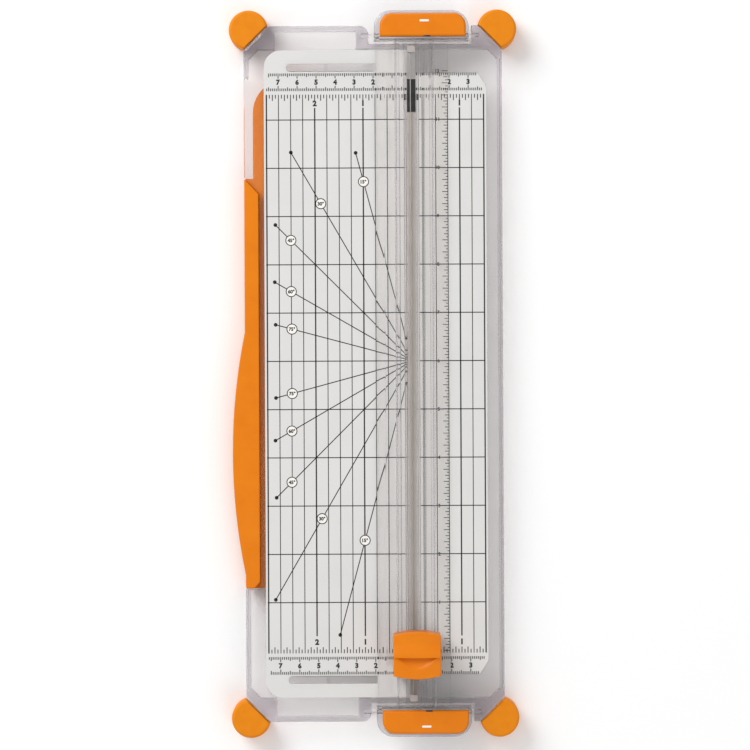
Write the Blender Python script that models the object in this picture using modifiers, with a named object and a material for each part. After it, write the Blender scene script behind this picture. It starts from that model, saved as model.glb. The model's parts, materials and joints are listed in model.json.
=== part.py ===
"""Rotary paper trimmer: a clear tray with a printed deck, a lift-up cutting rail with a sliding
rotary blade carriage, a swing-out measuring arm and four soft corner grips.

Frame: metres, +Z up, origin at the middle of the footprint on the table. +Y runs along the cut,
towards the rear end, and +X points to the right of a user who stands at the front end.
"""

import math

import bmesh
import bpy
from mathutils import Matrix, Vector

MM = 0.001

# ---- driving dimensions -------------------------------------------------------------------------
FIT_GAP = 0.3 * MM  # air between two pieces that rest on each other
RUN_GAP = 0.1 * MM  # radial clearance of a turning fit

BASE_HALF_WIDTH = 68.0 * MM
BASE_HALF_LENGTH = 183.3 * MM
BASE_CHAMFER = 12.5 * MM
SKIRT_BOTTOM = 1.0 * MM
DECK_UNDER = 10.6 * MM
DECK_TOP = 14.0 * MM
WALL = 2.2 * MM

OVERALL_HALF_LENGTH = 191.5 * MM
GRIP_RADIUS = 10.3 * MM
GRIP_CENTRE = Vector((65.4 * MM, OVERALL_HALF_LENGTH - GRIP_RADIUS))
GRIP_HEIGHT = 14.6 * MM

CUT_X = 20.2 * MM  # the cut line
SLOT_LEFT = 17.9 * MM
SLOT_RIGHT = 22.5 * MM

PANEL_THICKNESS = 1.0 * MM
PANEL_LEFT = -57.4 * MM
PANEL_RIGHT = 59.5 * MM
PANEL_HALF_LENGTH = 170.3 * MM
SCALE_HALF_LENGTH = 158.0 * MM

FENCE_NEAR = 159.2 * MM
FENCE_FAR = 162.9 * MM
FENCE_LEFT = -45.3 * MM
FENCE_TOP = DECK_TOP + 1.5 * MM

RAIL_LEFT = 1.3 * MM
RAIL_RIGHT = 39.6 * MM
RAIL_HALF_LENGTH = 174.8 * MM
RAIL_UNDER = DECK_TOP + FIT_GAP
RAIL_FLOOR = 15.8 * MM  # top of the rail's flat flange
RIB_TOP = 20.0 * MM
RIB_LIP = 18.0 * MM  # underside of the lips that the carriage hooks under
SLOT_WALL_TOP = 18.4 * MM
ANCHOR_NEAR = 168.8 * MM
ANCHOR_FAR = 172.2 * MM

END_LEFT = 0.7 * MM
END_RIGHT = 50.5 * MM
END_INNER = RAIL_HALF_LENGTH + FIT_GAP
END_OUTER = 190.6 * MM
END_UNDER = 9.2 * MM
NOTCH_LEFT = -2.1 * MM
NOTCH_RIGHT = 52.0 * MM
NOTCH_FLOOR = 173.6 * MM
PAD_LEFT = 3.7 * MM
PAD_RIGHT = 49.0 * MM
PAD_INNER = 176.8 * MM
PAD_OUTER = 189.1 * MM
PAD_FLOOR = 15.0 * MM

PIN_RADIUS = 1.0 * MM
PIN_Y = 178.0 * MM
PIN_Z = 11.5 * MM
PIN_REACH = 3.9 * MM  # how far a hinge pin goes into the tray on each side

ARM_PIVOT = Vector((-45.6 * MM, 137.7 * MM))
ARM_LUG_RADIUS = 17.7 * MM
ARM_UNDER = 6.6 * MM
ARM_TOP = 9.8 * MM
ARM_END = -112.8 * MM
HANDLE_INNER = -60.3 * MM
HANDLE_UNDER = 3.0 * MM
HANDLE_BULGE = 6.6 * MM
ARM_BOSS_RADIUS = 5.0 * MM

CARRIAGE_X = 21.75 * MM
CARRIAGE_Y = -146.6 * MM
CARRIAGE_HALF_WIDTH = 12.35 * MM
CARRIAGE_HALF_LENGTH = 10.55 * MM
CARRIAGE_CROWN = 1.75 * MM  # how far the rounded ends stand out
PRESS_TRAVEL = 1.9 * MM
CAP_SKIRT = 24.0 * MM
CAP_ROOF = 34.6 * MM
CAP_TOP = 37.2 * MM
CAP_WALL = 1.5 * MM
COLLAR_TOP = 26.0 * MM
SPRING_OFFSET = 6.55 * MM

BLADE_RADIUS = 9.0 * MM
BLADE_THICKNESS = 0.3 * MM
BLADE_X = CUT_X + 0.3 * MM
BLADE_Z = DECK_TOP + 0.05 * MM + BLADE_RADIUS + PRESS_TRAVEL
WIRE_X = CUT_X - 0.4 * MM
WIRE_Z = 15.0 * MM
WIRE_RADIUS = 0.25 * MM

# ---- materials: base colour, roughness, metallic --------------------------------------------------
FINISHES = {
    "clear_plastic": ((0.86, 0.86, 0.87), 0.08, 0.0),
    "white_print": ((0.84, 0.83, 0.82), 0.45, 0.0),
    "grey_plastic": ((0.45, 0.42, 0.41), 0.55, 0.0),
    "black_plastic": ((0.02, 0.02, 0.025), 0.40, 0.0),
    "orange_plastic": ((0.90, 0.25, 0.02), 0.35, 0.0),
    "orange_soft": ((0.85, 0.26, 0.02), 0.60, 0.0),
    "steel": ((0.60, 0.60, 0.62), 0.25, 1.0),
}


# ---- helpers --------------------------------------------------------------------------------------
def start_empty():
    """Remove every object of the scene and make the two collections."""
    for old in list(bpy.data.objects):
        bpy.data.objects.remove(old)
    made = []
    for name in ("paper_trimmer", "cutters"):
        collection = bpy.data.collections.new(name)
        bpy.context.scene.collection.children.link(collection)
        made.append(collection)
    return made


PARTS, CUTTERS = start_empty()


def material(name):
    found = bpy.data.materials.get(name)
    if found:
        return found
    colour, roughness, metallic = FINISHES[name]
    made = bpy.data.materials.new(name)
    made.use_nodes = True
    shader = made.node_tree.nodes["Principled BSDF"]
    shader.inputs["Base Color"].default_value = (*colour, 1.0)
    shader.inputs["Roughness"].default_value = roughness
    shader.inputs["Metallic"].default_value = metallic
    return made


def add_object(name, mesh, finish=None):
    """Link a mesh as a part, or as a cutter where it has no finish."""
    made = bpy.data.objects.new(name, mesh)
    if finish:
        PARTS.objects.link(made)
        mesh.materials.clear()
        mesh.materials.append(material(finish))
    else:
        CUTTERS.objects.link(made)
        made.hide_render = True
        made.display_type = "WIRE"
    return made


def mesh_of(name, bm):
    mesh = bpy.data.meshes.new(name)
    bmesh.ops.recalc_face_normals(bm, faces=bm.faces)
    bm.to_mesh(mesh)
    bm.free()
    return mesh


def box(name, low, high, finish=None):
    """A box between two corners."""
    low, high = Vector(low), Vector(high)
    bm = bmesh.new()
    size = Matrix.Diagonal((*(high - low), 1.0))
    bmesh.ops.create_cube(bm, size=1.0, matrix=Matrix.Translation((low + high) / 2) @ size)
    return add_object(name, mesh_of(name, bm), finish)


def cylinder(name, radius, start, end, finish=None, sides=32):
    """A round bar from one point to another."""
    start, end = Vector(start), Vector(end)
    along = end - start
    turn = along.to_track_quat("Z", "X").to_matrix().to_4x4()
    bm = bmesh.new()
    bmesh.ops.create_cone(bm, cap_ends=True, segments=sides, radius1=radius, radius2=radius,
                          depth=along.length, matrix=Matrix.Translation((start + end) / 2) @ turn)
    return add_object(name, mesh_of(name, bm), finish)


def rounded(corners, steps=6):
    """The outline through (x, y, radius) corners, with an arc at each corner that has a radius."""
    outline = []
    for i, (x, y, radius) in enumerate(corners):
        here = Vector((x, y))
        if radius == 0:
            outline.append(here)
            continue
        before = (Vector(corners[i - 1][:2]) - here).normalized()
        after = (Vector(corners[(i + 1) % len(corners)][:2]) - here).normalized()
        half = before.angle(after) / 2
        centre = here + (before + after).normalized() * radius / math.sin(half)
        first = here + before * radius / math.tan(half) - centre
        last = here + after * radius / math.tan(half) - centre
        sweep = first.angle_signed(last)
        for step in range(steps + 1):
            outline.append(centre + Matrix.Rotation(-sweep * step / steps, 2) @ first)
    return outline


def prism(name, outline, low, high, finish=None, plane="XY"):
    """An outline with thickness: drawn in XY and raised along Z, or drawn in XZ and drawn out along Y."""
    curve = bpy.data.curves.new(name + "_outline", "CURVE")
    curve.dimensions = "2D"
    curve.fill_mode = "BOTH"
    curve.extrude = (high - low) / 2
    spline = curve.splines.new("POLY")
    spline.points.add(len(outline) - 1)
    for point, place in zip(spline.points, outline):
        point.co = (place[0], place[1], 0.0, 1.0)
    spline.use_cyclic_u = True
    holder = bpy.data.objects.new(name + "_outline", curve)
    bpy.context.scene.collection.objects.link(holder)
    middle = (low + high) / 2
    if plane == "XY":
        place = Matrix.Translation((0, 0, middle))
    else:
        place = Matrix.Translation((0, middle, 0)) @ Matrix.Rotation(math.pi / 2, 4, "X")
    bpy.context.view_layer.update()
    graph = bpy.context.evaluated_depsgraph_get()
    mesh = bpy.data.meshes.new_from_object(holder.evaluated_get(graph))
    bpy.data.objects.remove(holder)
    bm = bmesh.new()
    bm.from_mesh(mesh)
    bpy.data.meshes.remove(mesh)
    bmesh.ops.remove_doubles(bm, verts=bm.verts, dist=1e-6)
    bmesh.ops.transform(bm, matrix=place, verts=bm.verts)
    bmesh.ops.dissolve_limit(bm, angle_limit=0.001, verts=bm.verts, edges=bm.edges)
    return add_object(name, mesh_of(name, bm), finish)


def boolean(target, tool, operation="DIFFERENCE"):
    """Cut, join or keep what is shared with a tool, which stays in the cutters' collection."""
    modifier = target.modifiers.new(operation.lower(), "BOOLEAN")
    modifier.object = tool
    modifier.operation = operation
    modifier.solver = "EXACT"
    return target


def round_edges(target, width, segments=2, angle=40.0):
    modifier = target.modifiers.new("round_edges", "BEVEL")
    modifier.width = width
    modifier.segments = segments
    modifier.limit_method = "ANGLE"
    modifier.angle_limit = math.radians(angle)
    return target


def smooth(target, angle=35.0):
    target.data.shade_smooth()
    target.data.set_sharp_from_angle(angle=math.radians(angle))
    return target


def bevel_rim(target, height, width, segments):
    """Round the upper rim of a prism."""
    bm = bmesh.new()
    bm.from_mesh(target.data)
    rim = [e for e in bm.edges if all(abs(v.co.z - height) < 1e-6 for v in e.verts)
           and any(abs(f.normal.z) < 0.5 for f in e.link_faces)]
    bmesh.ops.bevel(bm, geom=rim, offset=width, segments=segments, profile=0.5, affect="EDGES", material=-1)
    bm.to_mesh(target.data)
    bm.free()
    return target


# ---- the tray -------------------------------------------------------------------------------------
def tray_outline():
    w, l, c = BASE_HALF_WIDTH, BASE_HALF_LENGTH, BASE_CHAMFER
    corner = 4.5 * MM
    return rounded([
        (-w + c, -l, 0), (NOTCH_LEFT, -l, corner), (NOTCH_LEFT, -NOTCH_FLOOR, 0),
        (NOTCH_RIGHT, -NOTCH_FLOOR, 0), (NOTCH_RIGHT, -l, 0), (w - c, -l, 0), (w, -l + c, 0),
        (w, l - c, 0), (w - c, l, 0), (NOTCH_RIGHT, l, 0), (NOTCH_RIGHT, NOTCH_FLOOR, 0),
        (NOTCH_LEFT, NOTCH_FLOOR, 0), (NOTCH_LEFT, l, corner), (-w + c, l, 0), (-w, l - c, 0),
        (-w, -l + c, 0),
    ])


def panel_outline(side, grow=0.0):
    """The left panel has round outer corners, and the right one has small chamfers."""
    if side == "left":
        right = SLOT_LEFT - 0.7 * MM + grow
        left, half = PANEL_LEFT - grow, PANEL_HALF_LENGTH + grow
        corner = 9.0 * MM
        return rounded([(left, -half, corner), (right, -half, 0), (right, half, 0), (left, half, corner)])
    left = SLOT_RIGHT + 0.7 * MM - grow
    right, half = PANEL_RIGHT + grow, SCALE_HALF_LENGTH + grow
    cut_x, cut_y = 4.5 * MM, 7.0 * MM
    return [Vector(p) for p in (
        (left, -half), (right - cut_x, -half), (right, -half + cut_y),
        (right, half - cut_y), (right - cut_x, half), (left, half))]


def fence_outline(sign, grow=0.0):
    """A ridge that squares the paper: round at its left end, and cut off where the rail starts."""
    y0, y1 = sorted((FENCE_NEAR * sign, FENCE_FAR * sign))
    y0, y1 = y0 - grow, y1 + grow
    radius = (y1 - y0) / 2 - 0.05 * MM
    left, right = FENCE_LEFT - grow, RAIL_LEFT - 0.5 * MM + grow
    return rounded([(left, y0, radius), (right, y0, 0), (right, y1, 0), (left, y1, radius)])


def handle_line(grow=0.0):
    """The swing arm handle's inner side and slanted rear end, as the handle and its gap share them."""
    return [
        Vector((HANDLE_INNER + grow, ARM_END + 3.5 * MM)),
        Vector((HANDLE_INNER + grow, 95.0 * MM + grow)),
        Vector((-BASE_HALF_WIDTH, 103.0 * MM + grow)),
    ]


def make_tray():
    tray = prism("base_tray", tray_outline(), SKIRT_BOTTOM, DECK_TOP, "clear_plastic")
    bevel_rim(tray, DECK_TOP, 1.5 * MM, 2)

    # The hollow underneath: a long bay with cut corners, and a shallow bay in each left end flange.
    inner_x, inner_y = BASE_HALF_WIDTH - WALL, NOTCH_FLOOR - WALL
    cut = BASE_HALF_WIDTH + BASE_HALF_LENGTH - BASE_CHAMFER - 6.8 * MM - inner_x
    bay = [Vector(p) for p in (
        (-inner_x, -cut), (-inner_x + inner_y - cut, -inner_y), (inner_x - inner_y + cut, -inner_y),
        (inner_x, -cut), (inner_x, cut), (inner_x - inner_y + cut, inner_y),
        (-inner_x + inner_y - cut, inner_y), (-inner_x, cut))]
    boolean(tray, prism("cut_bay", bay, -5 * MM, DECK_UNDER))
    for sign in (-1, 1):
        near, far = (inner_y - 1 * MM) * sign, (BASE_HALF_LENGTH - WALL) * sign
        boolean(tray, box(f"cut_flange_{sign}", (-52 * MM, min(near, far), -5 * MM),
                          (-9 * MM, max(near, far), DECK_UNDER)))

    # Two panel recesses, the channel for the cutting strip, and the two ridges that square the paper.
    floor = DECK_TOP - PANEL_THICKNESS - FIT_GAP
    for side in ("left", "right"):
        boolean(tray, prism(f"cut_{side}_recess", panel_outline(side, FIT_GAP), floor, DECK_TOP + 5 * MM))
    boolean(tray, box("cut_channel", (SLOT_LEFT - 0.4 * MM, -172 * MM, 12.1 * MM),
                      (SLOT_RIGHT + 0.4 * MM, 172 * MM, DECK_TOP + 5 * MM)))

    for name, sign in (("rear", 1), ("front", -1)):
        boolean(tray, prism(f"fence_{name}", fence_outline(sign), floor - 0.5 * MM, FENCE_TOP), "UNION")

    # The left side is open for the arm: low down for its plate, full height for its handle.
    gap = 0.5 * MM
    lug_end = ARM_PIVOT.y + ARM_LUG_RADIUS + 1.4 * MM
    boolean(tray, box("cut_arm_mouth", (-80 * MM, ARM_END - gap, -5 * MM),
                      (-BASE_HALF_WIDTH + WALL + 1 * MM, lug_end, ARM_TOP + 0.4 * MM)))
    away = -BASE_HALF_WIDTH - 10 * MM
    inner = handle_line(gap)
    hole = [Vector((away, ARM_END - gap)), Vector((inner[0].x, ARM_END - gap)), inner[1], inner[2],
            Vector((away, inner[2].y))]
    boolean(tray, prism("cut_handle_gap", hole, -5 * MM, DECK_TOP + 5 * MM))

    # Ribs under the deck, sunk a little into it so that they join.
    for name, x, reach in (("arm", -25.5 * MM, PANEL_HALF_LENGTH - 5 * MM),
                           ("left", 14.0 * MM, inner_y + 1 * MM),
                           ("right", 25.0 * MM, inner_y + 1 * MM)):
        rib = box(f"rib_{name}", (x, -reach, 4.0 * MM), (x + 1.6 * MM, reach, DECK_UNDER + 0.5 * MM))
        boolean(tray, rib, "UNION")

    # The boss that the arm turns on, with a pilot hole for its screw.
    x, y = ARM_PIVOT
    boss = cylinder("boss_arm", ARM_BOSS_RADIUS, (x, y, ARM_UNDER - 0.2 * MM),
                    (x, y, DECK_UNDER + 0.5 * MM))
    boolean(tray, boss, "UNION")
    boolean(tray, cylinder("cut_pilot", 1.6 * MM, (x, y, 0), (x, y, DECK_TOP - 3.0 * MM), sides=16))

    # Open-topped sockets for the hinge pins, in the side walls of both end notches.
    reach = 4.2 * MM
    width = PIN_RADIUS + RUN_GAP
    for sign in (-1, 1):
        y = PIN_Y * sign
        for name, x0, x1 in (("left", NOTCH_LEFT - reach, NOTCH_LEFT + 1 * MM),
                             ("right", NOTCH_RIGHT - 1 * MM, NOTCH_RIGHT + reach)):
            boolean(tray, cylinder(f"cut_seat_{name}_{sign}", width, (x0, y, PIN_Z), (x1, y, PIN_Z),
                                   sides=24))
            boolean(tray, box(f"cut_mouth_{name}_{sign}", (x0, y - width, PIN_Z),
                              (x1, y + width, DECK_TOP + 5 * MM)))
    return tray


# ---- printed panels and cutting strip ------------------------------------------------------------
def make_deck_pieces():
    low = DECK_TOP - PANEL_THICKNESS
    for side in ("left", "right"):
        panel = prism(f"grid_panel_{side}", panel_outline(side), low, DECK_TOP, "white_print")
        if side == "left":
            for name, sign in (("rear", 1), ("front", -1)):
                slot = prism(f"cut_fence_slot_{name}", fence_outline(sign, FIT_GAP), 0, 30 * MM)
                boolean(panel, slot)
    left, right = SLOT_LEFT - 0.1 * MM, SLOT_RIGHT + 0.1 * MM
    sight_start, sight_end = 137.7 * MM, 155.0 * MM
    box("cutting_strip", (left, -171.7 * MM, 12.4 * MM), (right, sight_start - FIT_GAP, DECK_TOP - 0.1 * MM),
        "grey_plastic")
    box("sight_insert", (left, sight_start, 12.4 * MM), (right, sight_end, DECK_TOP - 0.1 * MM),
        "black_plastic")


# ---- corner grips --------------------------------------------------------------------------------
def make_corner_grips():
    """Soft discs, each cut straight where it is bonded to the tray's chamfer."""
    half = BASE_CHAMFER / 2
    for name, sx, sy in (("front_left", -1, -1), ("front_right", 1, -1), ("rear_left", -1, 1),
                         ("rear_right", 1, 1)):
        face = Vector(((BASE_HALF_WIDTH - half) * sx, (BASE_HALF_LENGTH - half) * sy, 0))
        inward = Vector((-sx, -sy, 0)).normalized()
        centre = (GRIP_CENTRE.x * sx, GRIP_CENTRE.y * sy)
        grip = cylinder(f"corner_grip_{name}", GRIP_RADIUS, (*centre, 0), (*centre, GRIP_HEIGHT),
                        "orange_soft", sides=40)
        bm = bmesh.new()
        bm.from_mesh(grip.data)
        rims = [e for e in bm.edges if abs(e.verts[0].co.z - e.verts[1].co.z) < 1e-6]
        bmesh.ops.bevel(bm, geom=rims, offset=1.2 * MM, segments=2, profile=0.5, affect="EDGES", material=-1)
        plane = bmesh.ops.bisect_plane(bm, geom=bm.verts[:] + bm.edges[:] + bm.faces[:],
                                       plane_co=face - inward * FIT_GAP, plane_no=inward, clear_outer=True)
        cut_edges = [g for g in plane["geom_cut"] if isinstance(g, bmesh.types.BMEdge)]
        bmesh.ops.contextual_create(bm, geom=cut_edges)
        bmesh.ops.recalc_face_normals(bm, faces=bm.faces)
        bm.to_mesh(grip.data)
        bm.free()
        smooth(grip)


# ---- the swing-out arm ---------------------------------------------------------------------------
def arm_plate_outline():
    x, y = ARM_PIVOT
    left, right = x - ARM_LUG_RADIUS, x + ARM_LUG_RADIUS
    step_x, step_y = -67.4 * MM, 103.0 * MM
    cut = 3.0 * MM
    outline = [Vector(p) for p in (
        (left, y), (left, step_y), (step_x, step_y), (step_x, ARM_END), (right - cut, ARM_END),
        (right, ARM_END + cut))]
    steps = 20
    for i in range(steps):
        turn = math.pi * i / steps
        outline.append(Vector((x + ARM_LUG_RADIUS * math.cos(turn), y + ARM_LUG_RADIUS * math.sin(turn))))
    return outline


def handle_outline():
    """A straight grip whose outer side swells out in one long arc."""
    side = -BASE_HALF_WIDTH
    top, bottom = 22.0 * MM, -105.7 * MM
    half_chord = (top - bottom) / 2
    radius = (half_chord ** 2 + HANDLE_BULGE ** 2) / (2 * HANDLE_BULGE)
    centre = Vector((side - HANDLE_BULGE + radius, (top + bottom) / 2))
    half_turn = math.asin(half_chord / radius)
    steps = 16
    arc = []
    for i in range(steps + 1):
        turn = math.pi - half_turn + 2 * half_turn * i / steps
        arc.append(centre + radius * Vector((math.cos(turn), math.sin(turn))))
    return arc + [Vector((side, ARM_END)), Vector((HANDLE_INNER - 3 * MM, ARM_END)), *handle_line()]


def make_arm():
    x, y = ARM_PIVOT
    arm = prism("swing_arm", arm_plate_outline(), ARM_UNDER, ARM_TOP, "orange_plastic")
    handle = prism("arm_handle_form", handle_outline(), HANDLE_UNDER, DECK_TOP)
    round_edges(handle, 0.9 * MM, 2)
    boolean(arm, handle, "UNION")
    boolean(arm, cylinder("cut_arm_bore", ARM_BOSS_RADIUS + RUN_GAP, (x, y, 0), (x, y, DECK_TOP)))
    washer = cylinder("arm_pivot_washer", 8.0 * MM, (x, y, 5.0 * MM), (x, y, 6.1 * MM), "steel")
    boolean(washer, cylinder("cut_washer_bore", 1.7 * MM, (x, y, 0), (x, y, DECK_TOP), sides=16))
    screw = cylinder("arm_pivot_screw", 3.2 * MM, (x, y, 2.8 * MM), (x, y, 4.8 * MM), "steel")
    shank = cylinder("form_pivot_shank", 1.5 * MM, (x, y, 4.5 * MM), (x, y, 10.4 * MM), sides=16)
    boolean(screw, shank, "UNION")
    for turn in (0, math.pi / 2):
        slot = box(f"cut_pivot_cross_{round(turn)}", (-1.8 * MM, -0.4 * MM, -1 * MM),
                   (1.8 * MM, 0.4 * MM, 1 * MM))
        slot.matrix_world = Matrix.Translation((x, y, 2.6 * MM)) @ Matrix.Rotation(turn, 4, "Z")
        boolean(screw, slot)


# ---- the cutting rail ----------------------------------------------------------------------------
def rail_outline():
    """The rail's section in XZ: a flat flange with a low edge rib, two T-shaped guide ribs, two walls
    beside the slot and a thin ruler edge."""
    under, floor, lip, wall, top = RAIL_UNDER, RAIL_FLOOR, RIB_LIP, SLOT_WALL_TOP, RIB_TOP
    flange = floor + 0.1 * MM
    edge, bead = under + 0.9 * MM, under + 2.5 * MM  # the ruler's thin edge, and the beads' height

    def across(offset):
        return RAIL_LEFT + offset * MM

    ruler = [(RAIL_RIGHT, under), (RAIL_RIGHT, edge), (across(34.9), edge + 0.4 * MM),
             (across(29.8), flange)]
    right_rib = [(across(29.8), lip), (across(30.8), lip), (across(30.8), top), (across(28.4), top),
                 (across(28.4), floor)]
    right_bead = [(across(25.6), floor), (across(25.6), bead), (across(24.4), bead), (across(24.4), floor)]
    right_wall = [(across(22.8), floor), (across(22.8), wall), (SLOT_RIGHT, wall), (SLOT_RIGHT, floor)]
    left_wall = [(SLOT_LEFT, floor), (SLOT_LEFT, wall), (across(15.0), wall), (across(15.0), floor)]
    left_rib = [(across(12.5), floor), (across(12.5), top), (across(10.1), top), (across(10.1), lip),
                (across(11.1), lip), (across(11.1), flange)]
    left_bead = [(across(4.7), flange), (across(4.7), bead + 0.4 * MM), (across(2.3), bead + 0.4 * MM),
                 (RAIL_LEFT, flange), (RAIL_LEFT, under)]
    return [Vector(p) for p in
            ruler + right_rib + right_bead + right_wall + left_wall + left_rib + left_bead]


def make_rail():
    rail = prism("cut_rail", rail_outline(), -RAIL_HALF_LENGTH, RAIL_HALF_LENGTH, "clear_plastic",
                 plane="XZ")
    slot_end = 172.5 * MM
    boolean(rail, box("cut_rail_slot", (SLOT_LEFT, -slot_end, 10 * MM), (SLOT_RIGHT, slot_end, 17 * MM)))
    for name, sign in (("rear", 1), ("front", -1)):
        y0, y1 = sorted((ANCHOR_NEAR * sign, ANCHOR_FAR * sign))
        anchor = box(f"wire_anchor_{name}", (SLOT_LEFT + FIT_GAP, y0, 14.5 * MM),
                     (SLOT_RIGHT - FIT_GAP, y1, 17.6 * MM), "grey_plastic")
        boolean(anchor, cylinder(f"cut_wire_hole_{name}", WIRE_RADIUS + RUN_GAP,
                                 (WIRE_X, (ANCHOR_NEAR - 1 * MM) * sign, WIRE_Z),
                                 (WIRE_X, (ANCHOR_NEAR + 2 * MM) * sign, WIRE_Z), sides=12))
    reach = ANCHOR_NEAR + 1.5 * MM
    cylinder("cut_line_wire", WIRE_RADIUS, (WIRE_X, -reach, WIRE_Z), (WIRE_X, reach, WIRE_Z), "steel",
             sides=8)


def end_outline(sign):
    corner = 9.0 * MM
    inner, outer = END_INNER * sign, END_OUTER * sign
    return rounded([(END_LEFT, inner, 0), (END_RIGHT, inner, 0), (END_RIGHT, outer, corner),
                    (END_LEFT, outer, corner)], steps=8)


def pad_outline(sign, grow=0.0):
    corner = 6.5 * MM
    left, right = PAD_LEFT - grow, PAD_RIGHT + grow
    inner, outer = (PAD_INNER - grow) * sign, (PAD_OUTER + grow) * sign
    return rounded([(left, inner, 0), (right, inner, 0), (right, outer, corner), (left, outer, corner)],
                   steps=8)


def make_rail_ends():
    """Each end is a clear housing with an orange lift pad let into its top. The hinge pin passes
    through it from side to side."""
    pad_top = RIB_TOP + 0.6 * MM
    hollow_near, hollow_far, hollow_top = 181.5 * MM, 188.8 * MM, 13.0 * MM
    for name, sign in (("rear", 1), ("front", -1)):
        end = prism(f"rail_end_{name}", end_outline(sign), END_UNDER, RIB_TOP, "clear_plastic")
        bevel_rim(end, RIB_TOP, 0.9 * MM, 2)
        boolean(end, prism(f"cut_pad_{name}", pad_outline(sign, FIT_GAP), PAD_FLOOR - FIT_GAP, 30 * MM))
        boolean(end, cylinder(f"cut_pin_{name}", PIN_RADIUS + RUN_GAP, (-10 * MM, PIN_Y * sign, PIN_Z),
                              (60 * MM, PIN_Y * sign, PIN_Z), sides=24))
        # The outer half of the underside is hollowed, as the skirt of a lifting lip.
        y0, y1 = sorted((hollow_near * sign, hollow_far * sign))
        boolean(end, box(f"cut_under_{name}", (9 * MM, y0, 5 * MM), (42 * MM, y1, hollow_top)))
        pad = prism(f"lift_pad_{name}", pad_outline(sign), PAD_FLOOR, pad_top, "orange_plastic")
        bevel_rim(pad, pad_top, 1.5 * MM, 3)
        cylinder(f"hinge_pin_{name}", PIN_RADIUS, (NOTCH_LEFT - PIN_REACH, PIN_Y * sign, PIN_Z),
                 (NOTCH_RIGHT + PIN_REACH, PIN_Y * sign, PIN_Z), "clear_plastic", sides=24)


# ---- the blade carriage --------------------------------------------------------------------------
def carriage_outline(inset=0.0):
    """A square in plan whose front and rear sides bow out."""
    half_width, half_length = CARRIAGE_HALF_WIDTH - inset, CARRIAGE_HALF_LENGTH - inset
    radius = (CARRIAGE_HALF_WIDTH ** 2 + CARRIAGE_CROWN ** 2) / (2 * CARRIAGE_CROWN)
    steps = 10
    outline = []
    for sign in (-1, 1):
        for i in range(steps + 1):
            x = half_width * (2 * i / steps - 1) * -sign
            bow = math.sqrt(radius ** 2 - x ** 2) - radius + CARRIAGE_CROWN
            outline.append(Vector((CARRIAGE_X + x, CARRIAGE_Y + sign * (half_length + bow))))
    return outline


def make_shoe():
    """The shoe slides on the two guide ribs and hooks under their lips."""
    plate_under, plate_top = RIB_TOP + FIT_GAP, RIB_TOP + 1.8 * MM
    shoe = prism("carriage_shoe", carriage_outline(), plate_under, plate_top, "orange_plastic")
    y0, y1 = CARRIAGE_Y - CARRIAGE_HALF_LENGTH, CARRIAGE_Y + CARRIAGE_HALF_LENGTH
    collar = prism("collar", carriage_outline(CAP_WALL + FIT_GAP), plate_top - 0.5 * MM, COLLAR_TOP)
    boolean(collar, prism("cut_collar", carriage_outline(CAP_WALL + FIT_GAP + 1.2 * MM), 10 * MM, 40 * MM))
    boolean(shoe, collar, "UNION")
    outer, wall, hook = CARRIAGE_HALF_WIDTH, 1.7 * MM, 2.7 * MM
    hook_under, hook_top = 16.3 * MM, 17.7 * MM
    for name, sign in (("left", -1), ("right", 1)):
        for form, depth, low, high in (("claw", wall, hook_under, plate_under + 0.5 * MM),
                                       ("hook", hook, hook_under, hook_top)):
            x0, x1 = sorted((CARRIAGE_X + outer * sign, CARRIAGE_X + (outer - depth) * sign))
            boolean(shoe, box(f"{form}_{name}", (x0, y0, low), (x1, y1, high)), "UNION")
        post_x = CARRIAGE_X + SPRING_OFFSET * sign
        post = cylinder(f"spring_post_{name}", 1.0 * MM, (post_x, CARRIAGE_Y, plate_top - 0.5 * MM),
                        (post_x, CARRIAGE_Y, COLLAR_TOP), sides=16)
        boolean(shoe, post, "UNION")
    boolean(shoe, box("cut_shoe_window", (BLADE_X - 2.8 * MM, CARRIAGE_Y - 10.8 * MM, 10 * MM),
                      (BLADE_X + 2.8 * MM, CARRIAGE_Y + 10.8 * MM, 30 * MM)))
    return shoe


def make_cap():
    """The thumb cap: a hood over the blade with a raised thumb ridge and a scoop in front of it."""
    cap = prism("thumb_cap", carriage_outline(), CAP_SKIRT, CAP_TOP, "orange_plastic")
    bevel_rim(cap, CAP_TOP, 1.2 * MM, 2)
    boolean(cap, prism("cut_cap_inside", carriage_outline(CAP_WALL), 10 * MM, CAP_ROOF))
    face_y = CARRIAGE_Y - 1.0 * MM
    crest, foot, half = CAP_TOP + 1.3 * MM, CAP_TOP - 0.4 * MM, CARRIAGE_HALF_WIDTH - 0.5 * MM
    ridge = [Vector((face_y, foot)), Vector((face_y, crest)), Vector((face_y + 1.8 * MM, crest)),
             Vector((face_y + 6.0 * MM, foot))]
    form = prism("ridge_form", ridge, -half, half)
    form.matrix_world = (Matrix.Translation((CARRIAGE_X, 0, 0))
                         @ Matrix(((0, 0, 1, 0), (1, 0, 0, 0), (0, 1, 0, 0), (0, 0, 0, 1))))
    boolean(cap, form, "UNION")
    # The scoop is a shallow dish, deepest where it meets the ridge's steep face.
    dish_radius = 14.0 * MM
    dish_y = face_y + 9.4 * MM
    dish = cylinder("cut_scoop", dish_radius, (CARRIAGE_X, dish_y, CAP_TOP - 1.6 * MM),
                    (CARRIAGE_X, dish_y, CAP_TOP + 5 * MM), sides=64)
    half_space = box("scoop_side", (0, face_y - 20 * MM, 30 * MM), (60 * MM, face_y, 45 * MM))
    boolean(dish, half_space, "INTERSECT")
    boolean(cap, dish)
    return cap


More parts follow.
